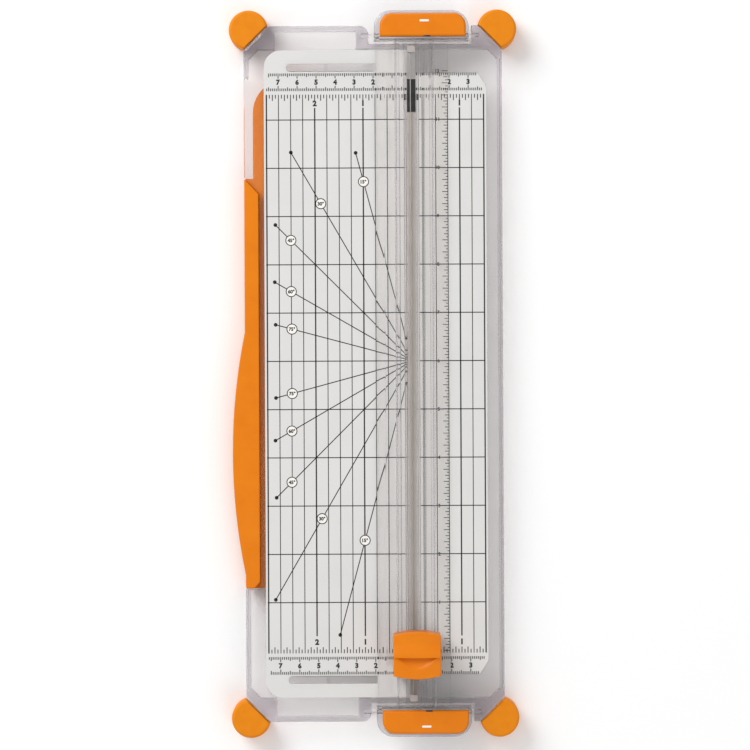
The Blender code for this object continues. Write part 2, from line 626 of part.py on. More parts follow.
def make_blade_set():
    """The blade turns on a steel axle in a frame under the cap."""
    y, z = CARRIAGE_Y, BLADE_Z
    holder_top = CAP_ROOF - FIT_GAP
    half_length = 10.2 * MM
    holder = box("blade_holder", (BLADE_X - 2.3 * MM, y - half_length, z - 2.1 * MM),
                 (BLADE_X + 2.3 * MM, y + half_length, holder_top), "black_plastic")
    room = BLADE_RADIUS + 0.2 * MM
    boolean(holder, box("cut_holder", (BLADE_X - 1.0 * MM, y - room, 0), (BLADE_X + 1.1 * MM, y + room, 1)))
    axle_radius = 1.0 * MM
    boolean(holder, cylinder("cut_axle_seat", axle_radius + 0.05 * MM, (BLADE_X - 5 * MM, y, z),
                             (BLADE_X + 5 * MM, y, z), sides=24))
    cylinder("blade_axle", axle_radius, (BLADE_X - 2.9 * MM, y, z), (BLADE_X + 2.9 * MM, y, z), "steel",
             sides=24)
    hub = cylinder("blade_hub", 3.6 * MM, (BLADE_X + 0.25 * MM, y, z), (BLADE_X + 0.8 * MM, y, z),
                   "black_plastic")
    boolean(hub, cylinder("hub_boss", 2.2 * MM, (BLADE_X - 0.7 * MM, y, z), (BLADE_X + 0.5 * MM, y, z),
                          sides=24), "UNION")
    boolean(hub, cylinder("cut_hub_bore", axle_radius + RUN_GAP, (BLADE_X - 5 * MM, y, z),
                          (BLADE_X + 5 * MM, y, z), sides=24))
    # Turned blade: a flat disc ground to an edge on both sides.
    half, ground = BLADE_THICKNESS / 2, 1.2 * MM
    bore = 2.3 * MM
    section = ((bore, -half), (BLADE_RADIUS - ground, -half), (BLADE_RADIUS, 0.0),
               (BLADE_RADIUS - ground, half), (bore, half))
    bm = bmesh.new()
    ring = [bm.verts.new((BLADE_X + x, y, z + r)) for r, x in section]
    edges = [bm.edges.new((ring[i], ring[(i + 1) % len(ring)])) for i in range(len(ring))]
    bmesh.ops.spin(bm, geom=ring + edges, cent=(BLADE_X, y, z), axis=(1, 0, 0), angle=2 * math.pi,
                   steps=40, use_merge=True)
    bmesh.ops.remove_doubles(bm, verts=bm.verts, dist=1e-6)
    smooth(add_object("rotary_blade", mesh_of("rotary_blade", bm), "steel"), 5)


def make_springs():
    """Two coil springs that lift the cap."""
    turns, per_turn, radius, wire = 5, 10, 1.75 * MM, 0.25 * MM
    low, high = RIB_TOP + 1.9 * MM + wire, CAP_ROOF - 0.1 * MM - wire
    for name, sign in (("left", -1), ("right", 1)):
        curve = bpy.data.curves.new(f"press_spring_{name}", "CURVE")
        curve.dimensions = "3D"
        curve.bevel_depth = wire
        curve.bevel_resolution = 1
        curve.use_fill_caps = True
        spline = curve.splines.new("POLY")
        count = turns * per_turn + 1
        spline.points.add(count - 1)
        for i, point in enumerate(spline.points):
            turn = 2 * math.pi * i / per_turn
            point.co = (CARRIAGE_X + SPRING_OFFSET * sign + radius * math.cos(turn),
                        CARRIAGE_Y + radius * math.sin(turn), low + (high - low) * i / (count - 1), 1.0)
        spring = bpy.data.objects.new(f"press_spring_{name}", curve)
        curve.materials.append(material("steel"))
        PARTS.objects.link(spring)


# ---- what moves with what ------------------------------------------------------------------------
def joint_frame(name, place, nodes, parent=None):
    """An empty on a joint's axis that carries the pieces moved by that joint."""
    frame = bpy.data.objects.new(name, None)
    frame.empty_display_size = 10 * MM
    PARTS.objects.link(frame)
    frame.location = place
    if parent:
        frame.parent = parent
        frame.matrix_parent_inverse = parent.matrix_world.inverted()
    bpy.context.view_layer.update()
    for node in nodes:
        piece = bpy.data.objects[node]
        piece.parent = frame
        piece.matrix_parent_inverse = frame.matrix_world.inverted()
    return frame


def assemble():
    middle = (NOTCH_LEFT + NOTCH_RIGHT) / 2
    joint_frame("arm_swing", (*ARM_PIVOT, (ARM_UNDER + ARM_TOP) / 2), ["swing_arm"])
    # Lifting the front end turns the rail on its rear pin. Lifting the rear end turns it on its front
    # pin, which then stays in its sockets.
    on_rear_pin = joint_frame("rail_lift_front", (middle, PIN_Y, PIN_Z), ["hinge_pin_front"])
    rail = ["cut_rail", "rail_end_rear", "rail_end_front", "lift_pad_rear", "lift_pad_front",
            "hinge_pin_rear", "cut_line_wire", "wire_anchor_rear", "wire_anchor_front"]
    on_front_pin = joint_frame("rail_lift_rear", (middle, -PIN_Y, PIN_Z), rail, on_rear_pin)
    sliding = joint_frame("carriage_slide", (CARRIAGE_X, CARRIAGE_Y, RIB_TOP),
                          ["carriage_shoe", "press_spring_left", "press_spring_right"], on_front_pin)
    pressed = joint_frame("blade_press", (CARRIAGE_X, CARRIAGE_Y, CAP_ROOF),
                          ["thumb_cap", "blade_holder", "blade_axle"], sliding)
    joint_frame("blade_spin", (BLADE_X, CARRIAGE_Y, BLADE_Z), ["rotary_blade", "blade_hub"], pressed)


make_tray()
make_deck_pieces()
make_corner_grips()
make_arm()
make_rail()
make_rail_ends()
make_shoe()
make_cap()
make_blade_set()
make_springs()
assemble()
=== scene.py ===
# %% [markdown]
# # A rotary paper trimmer
# A clear moulded tray carries a white printed deck. A clear ribbed rail lies on the deck, and a small
# orange carriage slides along it with a round blade inside. Everything here is built around the packed
# model of the trimmer, so the first step loads that model as a fixed frame to measure from.
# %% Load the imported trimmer
import json
import math

import bmesh
import bpy
from mathutils import Matrix, Vector


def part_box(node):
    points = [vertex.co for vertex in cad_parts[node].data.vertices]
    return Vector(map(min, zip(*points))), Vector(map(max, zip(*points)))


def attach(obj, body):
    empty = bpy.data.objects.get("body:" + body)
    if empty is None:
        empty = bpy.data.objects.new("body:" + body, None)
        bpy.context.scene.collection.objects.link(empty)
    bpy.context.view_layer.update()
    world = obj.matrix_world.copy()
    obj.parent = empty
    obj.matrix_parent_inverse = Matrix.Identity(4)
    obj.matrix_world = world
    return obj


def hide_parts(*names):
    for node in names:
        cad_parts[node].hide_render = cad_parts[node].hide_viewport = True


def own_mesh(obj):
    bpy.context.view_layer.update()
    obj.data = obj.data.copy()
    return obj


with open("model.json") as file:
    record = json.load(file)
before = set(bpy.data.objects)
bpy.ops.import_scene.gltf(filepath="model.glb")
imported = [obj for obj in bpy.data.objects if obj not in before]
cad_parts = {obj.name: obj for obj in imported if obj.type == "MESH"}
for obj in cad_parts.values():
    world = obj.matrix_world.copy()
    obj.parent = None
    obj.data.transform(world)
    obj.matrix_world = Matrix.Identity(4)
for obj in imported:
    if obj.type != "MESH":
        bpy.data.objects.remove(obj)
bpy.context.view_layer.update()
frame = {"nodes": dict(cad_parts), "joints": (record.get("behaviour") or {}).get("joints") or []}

# %% [markdown]
# ## Measures that several pieces share
# The real trimmer is laid out from its cut line: the slot, the wire, the grid and both scales count
# from it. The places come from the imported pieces, so that a change there moves everything here.
# %% Shared measures
MM = 0.001
INCH = 25.4 * MM

deck_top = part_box("grid_panel_left")[1].z
cut_x = sum(c.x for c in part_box("cutting_strip")) / 2
print("cut line at x", round(cut_x / MM, 2), "mm, deck at z", round(deck_top / MM, 2), "mm")

# %% [markdown]
# ## Colour and node helpers
# A designer picks colours as sRGB hex values, but Cycles works in linear light, so one function turns
# one into the other. A second small function adds a shader node with its settings and links, which
# keeps each finish short enough to read in one go.
# %% Colour and node helpers
def linear(code):
    """Turn an sRGB hex colour into linear red, green, blue and a full alpha."""
    parts = [int(code[i:i + 2], 16) / 255 for i in (1, 3, 5)]
    return (*[c / 12.92 if c <= 0.04045 else ((c + 0.055) / 1.055) ** 2.4 for c in parts], 1.0)


def add_node(finish, kind, settings=(), inputs=()):
    """Add a node. Settings are its properties, and inputs are values or other nodes' outputs."""
    node = finish.node_tree.nodes.new(kind)
    for name, value in dict(settings).items():
        setattr(node, name, value)
    for name, value in dict(inputs).items():
        if isinstance(value, bpy.types.NodeSocket):
            finish.node_tree.links.new(value, node.inputs[name])
        else:
            node.inputs[name].default_value = value
    return node


def new_finish(name, **shader_values):
    """Start a material, and return it with its Principled shader. Underscores stand for spaces."""
    finish = bpy.data.materials.new(name)
    finish.use_nodes = True
    shader = finish.node_tree.nodes["Principled BSDF"]
    for setting, value in shader_values.items():
        shader.inputs[setting.replace("_", " ")].default_value = value
    return finish, shader


print("hex #F08020 is linear", [round(c, 3) for c in linear("#F08020")[:3]])

# %% [markdown]
# ## What every moulding has
# No moulding is one flat colour. Its tone drifts a little over some millimetres, and its skin has a
# grain from the mould that breaks up the gloss. Both come from noise on Object coordinates, so that a
# lump is as wide as the size given in millimetres. Most noise stays between 0.3 and 0.7, so that range
# is stretched over the two tones, or over the two roughness values.
# %% Tones and grain
NOISE_RANGE = {"From Min": 0.3, "From Max": 0.7}


def drift_between_tones(finish, shader, lump, light, dark, detail=2.0):
    """Let the base colour drift between two close tones, in lumps of a real size."""
    place = add_node(finish, "ShaderNodeTexCoord").outputs["Object"]
    noise = add_node(finish, "ShaderNodeTexNoise", {},
                     {"Vector": place, "Scale": 1 / lump, "Detail": detail})
    share = add_node(finish, "ShaderNodeMapRange", {}, {"Value": noise.outputs["Fac"], **NOISE_RANGE})
    tone = add_node(finish, "ShaderNodeMix", {"data_type": "RGBA"},
                    {"Factor": share.outputs["Result"], "A": linear(light), "B": linear(dark)})
    finish.node_tree.links.new(tone.outputs["Result"], shader.inputs["Base Color"])


def grain_the_skin(finish, shader, grain, detail, roughness=None, depth=None):
    """Give the skin a grain of a real size, seen in its roughness, in its depth, or in both."""
    place = add_node(finish, "ShaderNodeTexCoord").outputs["Object"]
    noise = add_node(finish, "ShaderNodeTexNoise", {},
                     {"Vector": place, "Scale": 1 / grain, "Detail": detail}).outputs["Fac"]
    if roughness:
        spread = add_node(finish, "ShaderNodeMapRange", {},
                          {"Value": noise, **NOISE_RANGE, "To Min": roughness[0], "To Max": roughness[1]})
        finish.node_tree.links.new(spread.outputs["Result"], shader.inputs["Roughness"])
    if depth:
        bump = add_node(finish, "ShaderNodeBump", {}, {"Height": noise, "Distance": depth})
        finish.node_tree.links.new(bump.outputs["Normal"], shader.inputs["Normal"])


print("noise from", *NOISE_RANGE.values(), "is stretched over each pair of values")

# %% [markdown]
# ## Light that goes through
# Path tracing can't aim a lamp's light through a surface that bends it, so everything under clear
# plastic would stay dark or noisy. Shadow rays therefore pass straight through as if by a faintly
# tinted window, and all other rays meet the real shader. The white film lets some light through too.
# %% Let shadow rays through
def let_shadow_rays_through(finish, shader, tint):
    """Show a tinted window to shadow rays, and the shader to all others."""
    ray = add_node(finish, "ShaderNodeLightPath")
    window = add_node(finish, "ShaderNodeBsdfTransparent", {}, {"Color": linear(tint)})
    mix = add_node(finish, "ShaderNodeMixShader", {},
                   {0: ray.outputs["Is Shadow Ray"], 1: shader.outputs[0], 2: window.outputs[0]})
    finish.node_tree.links.new(mix.outputs[0], finish.node_tree.nodes["Material Output"].inputs["Surface"])


print("shadow rays see a window")

# %% [markdown]
# ## Clear polystyrene
# The tray, the rail, its ends and the hinge pins are injection-moulded clear polystyrene. It is polished
# by its mould, and its flow leaves very shallow waves. Tables give it an IOR of 1.59, but a faceted
# model has harder corners than a real moulding, and so shows too many inner reflections at that value:
# 1.46 looks right. Polystyrene is also a little grey in its depth, which is why its edges look darker
# than its faces, so the body absorbs some light on the way.
# %% Clear polystyrene
BODY_TINT = 75  # absorption per metre: a deck stays clear, and a skirt seen edge on turns grey


def make_clear_polystyrene():
    finish, shader = new_finish("clear_polystyrene_moulded", Base_Color=linear("#FCFCFB"), IOR=1.46,
                                Transmission_Weight=1.0)
    grain_the_skin(finish, shader, 14 * MM, 1.0, depth=0.005 * MM)  # waves from the flow
    grain_the_skin(finish, shader, 1.6 * MM, 6.0, roughness=(0.03, 0.08))  # fine scuffs
    let_shadow_rays_through(finish, shader, "#EFEEEC")
    body = add_node(finish, "ShaderNodeVolumeAbsorption", {},
                    {"Color": linear("#DAD4DC"), "Density": BODY_TINT})
    finish.node_tree.links.new(body.outputs[0], finish.node_tree.nodes["Material Output"].inputs["Volume"])
    return finish


clear_polystyrene = make_clear_polystyrene()
print(clear_polystyrene.name, "absorbs", BODY_TINT, "per metre")

# %% [markdown]
# ## Orange plastics
# The carriage, the pads and the arm are moulded ABS with a satin skin: IOR 1.54, roughness about 0.35,
# and a spark-eroded grain of about 0.3 mm that breaks up highlights. The corner grips are a soft
# elastomer over-moulding, which is duller and has a coarser, dusty skin.
# %% Orange plastics
def make_orange_abs():
    finish, shader = new_finish("orange_abs_satin", IOR=1.54, Specular_IOR_Level=0.2)
    drift_between_tones(finish, shader, 9 * MM, "#E68008", "#E27A06")
    grain_the_skin(finish, shader, 0.35 * MM, 3.0, roughness=(0.30, 0.42), depth=0.006 * MM)
    return finish


def make_orange_elastomer():
    finish, shader = new_finish("orange_elastomer_overmoulded", IOR=1.5, Specular_IOR_Level=0.2)
    drift_between_tones(finish, shader, 4 * MM, "#E68809", "#E28206")
    grain_the_skin(finish, shader, 0.6 * MM, 4.0, roughness=(0.52, 0.66), depth=0.02 * MM)
    return finish


orange_abs, orange_elastomer = make_orange_abs(), make_orange_elastomer()
print(orange_abs.name, "and", orange_elastomer.name)

# %% [markdown]
# ## White film, inks and hard plastics
# The deck is a white film with screen-printed scales: satin, with a faint paper-like mottle. The film is
# thin enough to let some light through to the table, which keeps the clear margins bright. The ink is a
# thin black layer that is a little glossier than the film. The cutting strip is a soft grey plastic
# whose skin is matt from the mould, and the insert at its rear end is hard black plastic.
# %% White film, inks and hard plastics
def make_white_film():
    finish, shader = new_finish("white_film_printed", IOR=1.5)
    drift_between_tones(finish, shader, 25 * MM, "#DCDBD9", "#D8D7D5", detail=3.0)
    grain_the_skin(finish, shader, 0.5 * MM, 4.0, roughness=(0.42, 0.55), depth=0.004 * MM)
    let_shadow_rays_through(finish, shader, "#DADAD8")
    return finish


def make_plain_plastic(name, light, dark, grain, roughness, depth):
    """A plain moulding or ink, whose tone drifts over twelve of its grains."""
    finish, shader = new_finish(name, IOR=1.5)
    drift_between_tones(finish, shader, 12 * grain, light, dark)
    grain_the_skin(finish, shader, grain, 3.0, roughness, depth)
    return finish


white_film = make_white_film()
black_ink = make_plain_plastic("black_screen_ink", "#211F1F", "#191818", 0.4 * MM, (0.35, 0.5), 0.002 * MM)
# This white ink also colours each lift pad's raised bar, as a painted highlight.
white_ink_and_highlight = make_plain_plastic("white_print_and_pad_highlight", "#F7F4EE", "#EFECE6", 0.4 * MM, (0.4, 0.5), 0.002 * MM)
strip_plastic = make_plain_plastic("grey_strip_polypropylene", "#B4ACA7", "#ABA5A0", 0.5 * MM, (0.5, 0.65),
                                   0.01 * MM)
# This black plastic also makes the block that paints the shade inside each lift pad's latch slot.
black_acetal_and_notch_shade = make_plain_plastic("acetal_moulded_and_notch_shade", "#2A2729", "#201E20", 0.4 * MM, (0.3, 0.45),
                                  0.005 * MM)
print("film, inks, strip and acetal are ready")

# %% [markdown]
# ## Metals
# The blade is ground tool steel, so its face is finely scratched. The axle, the screw, its washer and
# the springs are zinc-plated steel, and the wire is drawn. A metal keeps the default IOR, and its colour
# is the tint of its mirror image.
# %% Metals
def make_metal(name, colour, grain, roughness):
    finish, shader = new_finish(name, Base_Color=linear(colour), Metallic=1.0)
    grain_the_skin(finish, shader, grain, 5.0, roughness, depth=0.003 * MM)
    return finish


plated_steel = make_metal("steel_zinc_plated", "#C9CACC", 0.8 * MM, (0.18, 0.32))
blade_steel = make_metal("tool_steel_ground", "#D2D3D6", 0.3 * MM, (0.10, 0.30))
drawn_wire = make_metal("steel_wire_drawn", "#C6C2BD", 0.5 * MM, (0.30, 0.45))
print("metals:", plated_steel.name, blade_steel.name, drawn_wire.name)

# %% [markdown]
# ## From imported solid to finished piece
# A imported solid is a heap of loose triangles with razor-sharp edges, and a moulded piece never has
# those. The usual cure is used here: merge the points, melt the flat triangles into whole faces, round
# each sharp edge by its real radius, and shade only the gentle edges smooth. Large faces then get the
# last word on their corners' normals, or a clear plate would bend what lies behind it like old glass.
# %% Piece helpers
def merged(node):
    """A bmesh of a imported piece, with its triangles joined and its flat faces whole."""
    bm = bmesh.new()
    bm.from_mesh(frame["nodes"][node].data)
    bmesh.ops.remove_doubles(bm, verts=bm.verts, dist=0.002 * MM)
    bmesh.ops.dissolve_limit(bm, angle_limit=math.radians(0.5), verts=bm.verts, edges=bm.edges)
    return bm


def round_edges(bm, radius, segments=2, sharper_than=35):
    """Round the edges that turn by more than an angle."""
    edges = [e for e in bm.edges if len(e.link_faces) == 2
             and e.calc_face_angle() > math.radians(sharper_than)]
    bmesh.ops.bevel(bm, geom=edges, offset=radius, segments=segments, profile=0.5, affect="EDGES",
                    clamp_overlap=True, material=-1)


def put(bm, name, body, finish, stands_for=(), smooth_under=35):
    """Make the finished piece at the origin, with its place in its mesh, riding on a body."""
    mesh = bpy.data.meshes.new(name)
    bm.to_mesh(mesh)
    bm.free()
    mesh.materials.append(finish)
    mesh.shade_smooth()
    mesh.set_sharp_from_angle(angle=math.radians(smooth_under))
    piece = bpy.data.objects.new(name, mesh)
    bpy.context.scene.collection.objects.link(piece)
    even = piece.modifiers.new("flat_faces_stay_flat", "WEIGHTED_NORMAL")
    even.keep_sharp = True
    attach(piece, body)
    if stands_for:
        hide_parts(*stands_for)
    print(name, "has", len(mesh.polygons), "faces")
    return piece


def finish_packed(node, body, finish, radius=0, segments=2, sharper_than=35, smooth_under=35):
    """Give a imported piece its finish, and rounded edges where it has a radius."""
    bm = merged(node)
    if radius:
        round_edges(bm, radius, segments, sharper_than)
    return put(bm, node + "_finished", body, finish, [node], smooth_under)


# %% [markdown]
# ## The clear tray
# One moulding makes the deck, the skirt, the ribs underneath and the sockets for the hinge pins. Its
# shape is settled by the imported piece, down to the facets of its upper rim, so a merged copy is used.
# Those facets are shaded flat: a smoothed normal on a clear rim sends light the wrong way inside the
# plastic, and the edge turns black.
# %% The clear tray
FLAT_FACETS = 20  # degrees: below the turn between two facets of a rim
finish_packed("base_tray", "base", clear_polystyrene, smooth_under=FLAT_FACETS)

# %% [markdown]
# ## The printed deck
# Two white films lie in shallow recesses to the left and right of the cut line. They are flat, so the
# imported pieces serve, and the work goes into what is printed on them.
# %% The printed deck
for side in ("left", "right"):
    finish_packed(f"grid_panel_{side}", "base", white_film)

# %% [markdown]
# ## Ink as geometry
# The scales could be a texture, but fine ticks need a very large image to stay sharp. Screen ink is a
# real layer, so each tick is a thin bar instead: one box for each bar, and text turned into a mesh for
# each numeral. All of a film's ink is one piece.
# %% Bars, discs and rings of ink
INK_SINK, INK_PROUD = 0.01 * MM, 0.03 * MM
INK_DEPTH = INK_SINK + INK_PROUD
INK_MIDDLE = (INK_PROUD - INK_SINK) / 2  # how far the middle of the layer lies over the surface


def ink_bar(bm, start, end, width, level):
    """A thin bar of ink from one point to another on a level surface."""
    start, end = Vector(start), Vector(end)
    along = end - start
    middle = (start + end) / 2
    size = Matrix.Diagonal((along.length, width, INK_DEPTH, 1))
    place = Matrix.Translation((middle.x, middle.y, level + INK_MIDDLE))
    turn = Matrix.Rotation(math.atan2(along.y, along.x), 4, "Z")
    bmesh.ops.create_cube(bm, size=1, matrix=place @ turn @ size)


def ink_disc(bm, centre, radius, level, sides=24):
    bmesh.ops.create_cone(bm, cap_ends=True, segments=sides, radius1=radius, radius2=radius,
                          depth=INK_DEPTH, matrix=Matrix.Translation((*centre, level + INK_MIDDLE)))


def ink_ring(bm, centre, radius, width, level, sides=36):
    """A thin ring: a small rectangle spun round the centre."""
    inner, outer = radius - width, radius
    corners = [bm.verts.new((centre[0] + r, centre[1], level + z)) for r, z in
               ((inner, -INK_SINK), (outer, -INK_SINK), (outer, INK_PROUD), (inner, INK_PROUD))]
    outline = [bm.edges.new((corners[i], corners[(i + 1) % 4])) for i in range(4)]
    bmesh.ops.spin(bm, geom=corners + outline, cent=(*centre, level), axis=(0, 0, 1),
                   angle=2 * math.pi, steps=sides, use_merge=True)


print("ink is", round(INK_DEPTH / MM, 3), "mm thick, and mostly stands proud")

# %% [markdown]
# ## Numerals
# Blender's own font makes the numerals. A text object can't be placed by its size, because its letters
# are measured from a baseline, so it is turned into a mesh first. The mesh is then scaled to a real
# height and moved so that its middle lies on the wanted point.
# %% Numerals
def ink_text(bm, words, centre, height, level, weight=0.06, tilt=0.0):
    """Numerals of a given height, centred on a point. Weight thickens their strokes."""
    curve = bpy.data.curves.new("numeral", "FONT")
    curve.body = words
    curve.align_x, curve.align_y = "CENTER", "CENTER"
    curve.size = 1.0
    curve.offset = weight
    curve.resolution_u = 3
    curve.extrude = 0.5
    holder = bpy.data.objects.new("numeral", curve)
    bpy.context.scene.collection.objects.link(holder)
    graph = bpy.context.evaluated_depsgraph_get()
    mesh = bpy.data.meshes.new_from_object(holder.evaluated_get(graph))
    bpy.data.objects.remove(holder)
    xs, ys = [v.co.x for v in mesh.vertices], [v.co.y for v in mesh.vertices]
    scale = height / (max(ys) - min(ys))
    to_middle = Matrix.Translation((-(max(xs) + min(xs)) / 2, -(max(ys) + min(ys)) / 2, 0))
    size = Matrix.Diagonal((scale, scale, INK_DEPTH, 1))
    place = Matrix.Translation((centre[0], centre[1], level + INK_MIDDLE))
    mesh.transform(place @ Matrix.Rotation(tilt, 4, "Y") @ size @ to_middle)
    bm.from_mesh(mesh)
    bpy.data.meshes.remove(mesh)


print("numerals are meshes of the same thickness as the bars")

# %% [markdown]
# ## The angle lines
# Ten lines fan out from the middle of the cut line, five towards each end, to cut paper at an angle.
# Each has a round label part way along it and ends in a dot. A line is described by its angle and by
# how far out its label and its dot lie.
# %% The angle lines
ZERO_Y = -145.7 * MM  # the grid's zero line
ANGLE_ORIGIN = Vector((cut_x, ZERO_Y + 6 * INCH))
LABEL_RADIUS = 2.9 * MM
DOT_RADIUS = 1.0 * MM

ANGLE_LINES = [  # degrees from the cut line, 1 for up or -1 for down, how far its label and dot lie
    (15, 1, 97.7 * MM, 113.4 * MM), (30, 1, 95.7 * MM, 126.9 * MM), (45, 1, 90.0 * MM, 101.5 * MM),
    (60, 1, 73.4 * MM, 83.4 * MM), (75, 1, 65.5 * MM, 74.4 * MM),
    (75, -1, 65.5 * MM, 74.4 * MM), (60, -1, 73.4 * MM, 83.4 * MM), (45, -1, 90.0 * MM, 101.5 * MM),
    (30, -1, 95.7 * MM, 144.9 * MM), (15, -1, 97.7 * MM, 149.2 * MM)]


def angle_point(angle, distance, way):
    """A point on an angle line: way is 1 for the lines that go up and -1 for those that go down."""
    turn = math.radians(angle)
    return ANGLE_ORIGIN + distance * Vector((-math.sin(turn), way * math.cos(turn)))


labels = [angle_point(angle, out, way) for angle, way, out, _ in ANGLE_LINES]
print(len(labels), "angle labels")

# %% [markdown]
# ## Lines that stop at the labels
# No line is printed through a label. Overprinting it with white would do on paper, but two layers of
# geometry at one height flicker, so each line is cut instead: where it crosses a label's circle, the
# stretch inside the circle is left out.
# %% Lines that stop at the labels
SHORTEST_LINE = 0.2 * MM


def clear_stretches(start, end):
    """The stretches of a straight line that lie outside every label."""
    start, end = Vector(start), Vector(end)
    along = (end - start).normalized()
    length = (end - start).length
    gaps = []
    for label in labels:
        t = (label - start).dot(along)
        off = (label - start - along * t).length
        if off < LABEL_RADIUS and -LABEL_RADIUS < t < length + LABEL_RADIUS:
            half = math.sqrt(LABEL_RADIUS ** 2 - off ** 2)
            gaps.append((t - half, t + half))
    at = 0.0
    for low, high in sorted(gaps) + [(length, length)]:
        if low - at > SHORTEST_LINE:
            yield start + along * at, start + along * low
        at = max(at, high)


def ink_line(bm, start, end, width):
    for a, b in clear_stretches(start, end):
        ink_bar(bm, a, b, width, deck_top)


through_label = list(clear_stretches(ANGLE_ORIGIN, 2 * labels[0] - ANGLE_ORIGIN))
print("a line through one label is printed in", len(through_label), "stretches")

# %% [markdown]
# ## The inch grid
# The grid is in inches, counted from the cut line across and from the zero line up. Quarter-inch lines
# run the whole way, and whole inches are heavier and stop short of their numerals. Ticks for each
# sixteenth close both ends. A side of -1 prints the left film and 1 the right one.
# %% The inch grid
TICKS_END = 147.0 * MM  # where the inch ticks start, from the middle
LINES_REAR, LINES_FRONT = 140.0 * MM, 138.0 * MM  # where the whole-inch lines stop
REAR_NUMERALS, FRONT_NUMERALS = 2.4 * MM, 3.1 * MM  # how far beyond the line its numeral stands
THIN, MIDDLE, THICK, TICK = 0.42 * MM, 0.50 * MM, 0.70 * MM, 0.48 * MM
LONG_TICK, SHORT_TICK = 3.2 * MM, 2.0 * MM


def print_inch_grid(bm, side, near, far, inches):
    """Lines and ticks between x = near and x = far, as many inches out as the film is wide."""
    quarters = round(inches * 4)
    for k in range(1, 13):
        y = ZERO_Y + k * INCH
        if y < TICKS_END:
            ink_line(bm, (near, y), (far, y), MIDDLE)
    for k in range(1, quarters + 1):
        x = cut_x + side * k * INCH / 4
        numbered = k % 4 == 0 and k < quarters
        front, rear = (-LINES_FRONT, LINES_REAR) if numbered else (-TICKS_END, TICKS_END)
        heavy = k % 4 == 0 or k == quarters
        ink_line(bm, (x, front), (x, rear), THICK if heavy else THIN)
        if numbered:
            ink_text(bm, str(k // 4), (x, front - FRONT_NUMERALS), 3.1 * MM, deck_top)
            ink_text(bm, str(k // 4), (x, rear + REAR_NUMERALS), 3.1 * MM, deck_top)
    for k in range(1, quarters * 4 + 1):
        if k % 4 or k % 16 == 0:
            x = cut_x + side * k * INCH / 16
            length = LONG_TICK if k % 2 == 0 else SHORT_TICK
            for end in (-1, 1):
                ink_bar(bm, (x, end * TICKS_END), (x, end * (TICKS_END - length)), TICK, deck_top)


print("grid lines", [round(w / MM, 2) for w in (THIN, MIDDLE, THICK)], "mm wide")

# %% [markdown]
# ## The centimetre bands
# A band of centimetres closes each end of both films. It has ticks along both its edges, which point
# at each other, and the numerals stand between them. The outer row of ticks is a little shorter than
# the inner one, because the films' corners are cut.
# %% The centimetre bands
CM_INNER, CM_OUTER = 148.9 * MM, 158.2 * MM  # the band's two edges, from the middle
OUTER_ROW_REACH = 55 * MM  # the outer ticks stop before the films' corners
CM_TICKS = ((10, 2.7 * MM), (5, 2.0 * MM), (1, 1.4 * MM))  # every so many millimetres, and how long
FIRST_MM, FIRST_NUMBERED = 3, 20  # nearer to the cut line the rail hides them


def print_centimetre_bands(bm, side, far):
    reach = abs(far - cut_x)
    for k in range(FIRST_MM, math.floor((reach - 0.2 * MM) / MM) + 1):
        x = cut_x + side * k * MM
        length = next(tick for step, tick in CM_TICKS if k % step == 0)
        for end in (-1, 1):
            ink_bar(bm, (x, end * CM_INNER), (x, end * (CM_INNER + length)), TICK, deck_top)
            if abs(x) < OUTER_ROW_REACH:
                ink_bar(bm, (x, end * CM_OUTER), (x, end * (CM_OUTER - length)), TICK, deck_top)
            if k % 10 == 0 and k >= FIRST_NUMBERED and abs(x - far) > 3 * MM:
                ink_text(bm, str(k // 10), (x, end * (CM_INNER + CM_OUTER) / 2), 2.9 * MM, deck_top)


print("centimetre bands are", round((CM_OUTER - CM_INNER) / MM, 1), "mm wide")

# %% [markdown]
# ## Print both films
# The left film has three inches of grid and the fan of angle lines, and the right one an inch and a
# half. An angle line starts 3 mm to the left of the cut line, or it would run under the strip. The
# labels' white ground is a piece of its own, because it has another ink.
# %% Print both films
FAN_START = 3 * MM

left_ink, label_ground, right_ink = bmesh.new(), bmesh.new(), bmesh.new()
left_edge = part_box("grid_panel_left")[0].x + 0.9 * MM
print_inch_grid(left_ink, -1, cut_x - 3.2 * MM, left_edge, 3)
print_centimetre_bands(left_ink, -1, left_edge)
for angle, way, out, dot in ANGLE_LINES:
    label = angle_point(angle, out, way)
    start = FAN_START / math.sin(math.radians(angle))
    ink_line(left_ink, angle_point(angle, start, way), angle_point(angle, dot, way), MIDDLE)
    ink_disc(left_ink, angle_point(angle, dot, way), DOT_RADIUS, deck_top)
    ink_ring(left_ink, label, LABEL_RADIUS, TICK, deck_top)
    ink_text(left_ink, f"{angle}°", label, 2.1 * MM, deck_top, 0.05)
    ink_disc(label_ground, label, LABEL_RADIUS - 0.3 * MM, deck_top - INK_SINK, 36)

right_edge = cut_x + 1.5 * INCH
print_inch_grid(right_ink, 1, cut_x + 3.4 * MM, right_edge, 1.5)
print_centimetre_bands(right_ink, 1, right_edge)

put(left_ink, "left_grid_ink", "base", black_ink)
put(label_ground, "angle_label_ground", "base", white_ink_and_highlight)
put(right_ink, "right_grid_ink", "base", black_ink)

# %% [markdown]
# ## The cutting strip and the sight insert
# The blade presses the paper onto a soft strip that lies in a channel. Use leaves one fine groove along
# the cut line. The strip could be a plain bar, but the groove is what shows where the blade runs, so
# it is cut here. The rear end of the channel holds a hard black insert.
# %% The cutting strip
GROOVE_HALF_WIDTH, GROOVE_DEPTH = 0.22 * MM, 0.12 * MM
NEAR = 0.01 * MM  # two places closer than this are the same


